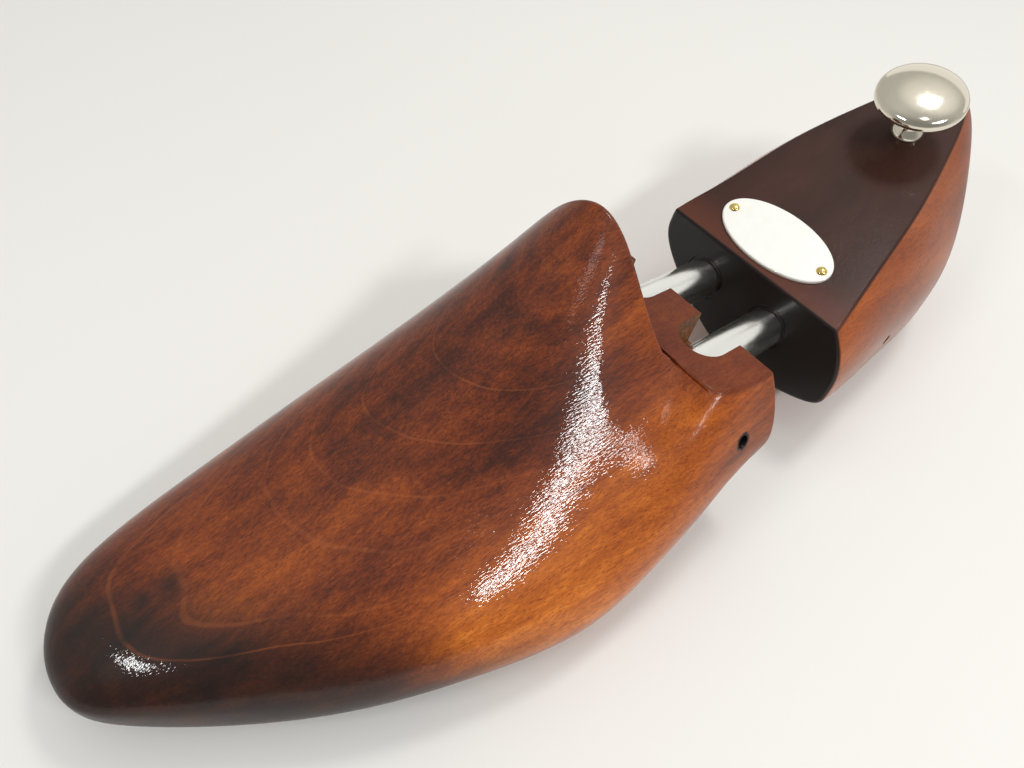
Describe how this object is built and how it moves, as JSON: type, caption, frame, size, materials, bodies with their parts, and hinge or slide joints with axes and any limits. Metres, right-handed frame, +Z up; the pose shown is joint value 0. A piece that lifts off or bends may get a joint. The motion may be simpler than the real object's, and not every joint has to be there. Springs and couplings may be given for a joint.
{
  "type": "shoe tree",
  "caption": "Left-foot wooden shoe tree: shaped forepart and heel block joined by a pair of sprung steel tubes, with a metal knob and an oval plate on the heel.",
  "frame": {"origin": "middle of the flat seat under the heel block, on the floor", "axes": "+X from the toe to the heel, +Y to the inner (big-toe) side, +Z up"},
  "size_m": [0.313, 0.0921, 0.0797],
  "materials": {
    "forepart_wood": "gloss varnish",
    "heel_wood": "satin varnish",
    "tube_steel": "polished",
    "nickel": "polished nickel",
    "steel": "plain",
    "black_plastic": "satin",
    "plate_enamel": "gloss white enamel",
    "brass": "polished"
  },
  "bodies": {
    "front": {"forepart": "forepart_wood", "forepart_pin": "steel", "tube_left": "tube_steel", "tube_right": "tube_steel", "spring_seat_left": "steel", "spring_seat_right": "steel"},
    "heel": {"heel_block": "heel_wood", "heel_pin": "steel", "guide_bush_left": "black_plastic", "guide_bush_right": "black_plastic", "spring_left": "steel", "spring_right": "steel", "name_plate": "plate_enamel", "plate_pin_left": "brass", "plate_pin_right": "brass", "knob_stem": "nickel", "knob_back": "nickel", "knob_dome": "nickel", "knob_screw": "steel"}
  },
  "joints": [
    {"name": "heel_slide", "type": "slide", "parent": "front", "child": "heel", "axis": [0.9816, 0, -0.1908], "range_m": [-0.022, 0], "stiffness_N_per_m": 1600, "springref_m": 0.01, "deforming": ["spring_left", "spring_right"]}
  ]
}
